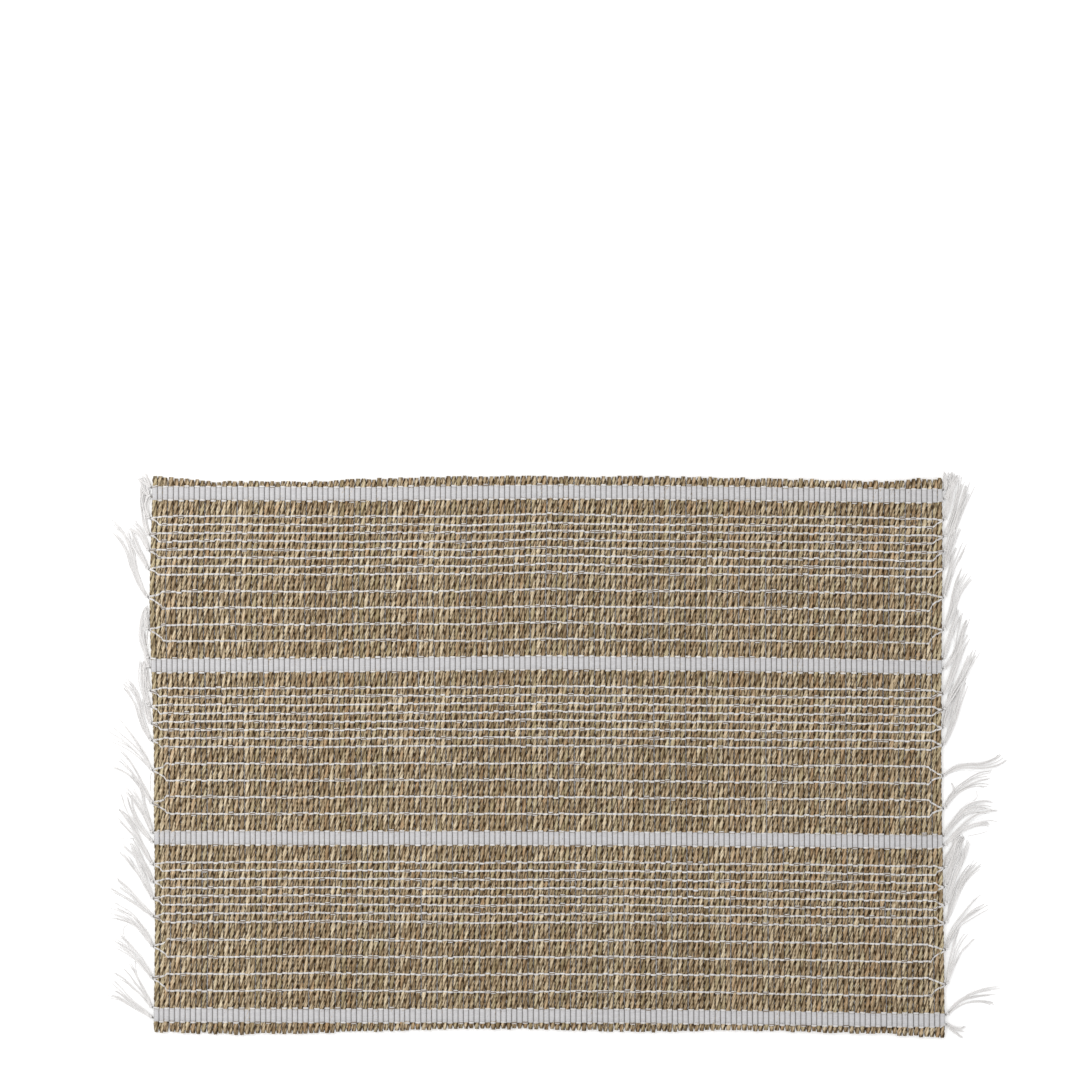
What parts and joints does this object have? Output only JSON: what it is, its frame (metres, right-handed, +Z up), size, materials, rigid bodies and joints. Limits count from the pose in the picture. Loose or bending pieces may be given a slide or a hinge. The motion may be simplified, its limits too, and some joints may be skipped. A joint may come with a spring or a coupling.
{
  "type": "placemat",
  "caption": "Flat rectangular placemat of round seagrass strands bound by white cotton warp rows and bands, with knotted cotton tassels on both short edges.",
  "frame": {"origin": "on the flat underside that rests on the table, in the middle of the woven part; the fringe is left out of that middle", "axes": "+X along the long side, towards the right-hand fringe; +Y across the mat along the seagrass strands, away from the diner; +Z up from the table"},
  "size_m": [0.5687, 0.3564, 0.0039],
  "materials": {
    "seagrass": "dry twisted plant fibre, matt with a slight sheen",
    "cotton": "matt white cotton yarn"
  },
  "bodies": {
    "root": {"tassel_left_01": "cotton", "tassel_left_02": "cotton", "tassel_left_03": "cotton", "tassel_left_04": "cotton", "tassel_left_05": "cotton", "tassel_left_06": "cotton", "tassel_left_07": "cotton", "tassel_left_08": "cotton", "tassel_left_09": "cotton", "tassel_left_10": "cotton", "tassel_left_11": "cotton", "tassel_left_12": "cotton", "tassel_left_13": "cotton", "tassel_left_14": "cotton", "tassel_left_15": "cotton", "tassel_left_16": "cotton", "tassel_left_17": "cotton", "tassel_left_18": "cotton", "tassel_left_19": "cotton", "tassel_left_20": "cotton", "tassel_left_21": "cotton", "tassel_left_22": "cotton", "tassel_left_23": "cotton", "tassel_left_24": "cotton", "tassel_left_25": "cotton", "tassel_left_26": "cotton", "tassel_right_01": "cotton", "tassel_right_02": "cotton", "tassel_right_03": "cotton", "tassel_right_04": "cotton", "tassel_right_05": "cotton", "tassel_right_06": "cotton", "tassel_right_07": "cotton", "tassel_right_08": "cotton", "tassel_right_09": "cotton", "tassel_right_10": "cotton", "tassel_right_11": "cotton", "tassel_right_12": "cotton", "tassel_right_13": "cotton", "tassel_right_14": "cotton", "tassel_right_15": "cotton", "tassel_right_16": "cotton", "tassel_right_17": "cotton", "tassel_right_18": "cotton", "tassel_right_19": "cotton", "tassel_right_20": "cotton", "tassel_right_21": "cotton", "tassel_right_22": "cotton", "tassel_right_23": "cotton", "tassel_right_24": "cotton", "tassel_right_25": "cotton", "tassel_right_26": "cotton", "woven_mat": "seagrass"}
  },
  "joints": []
}
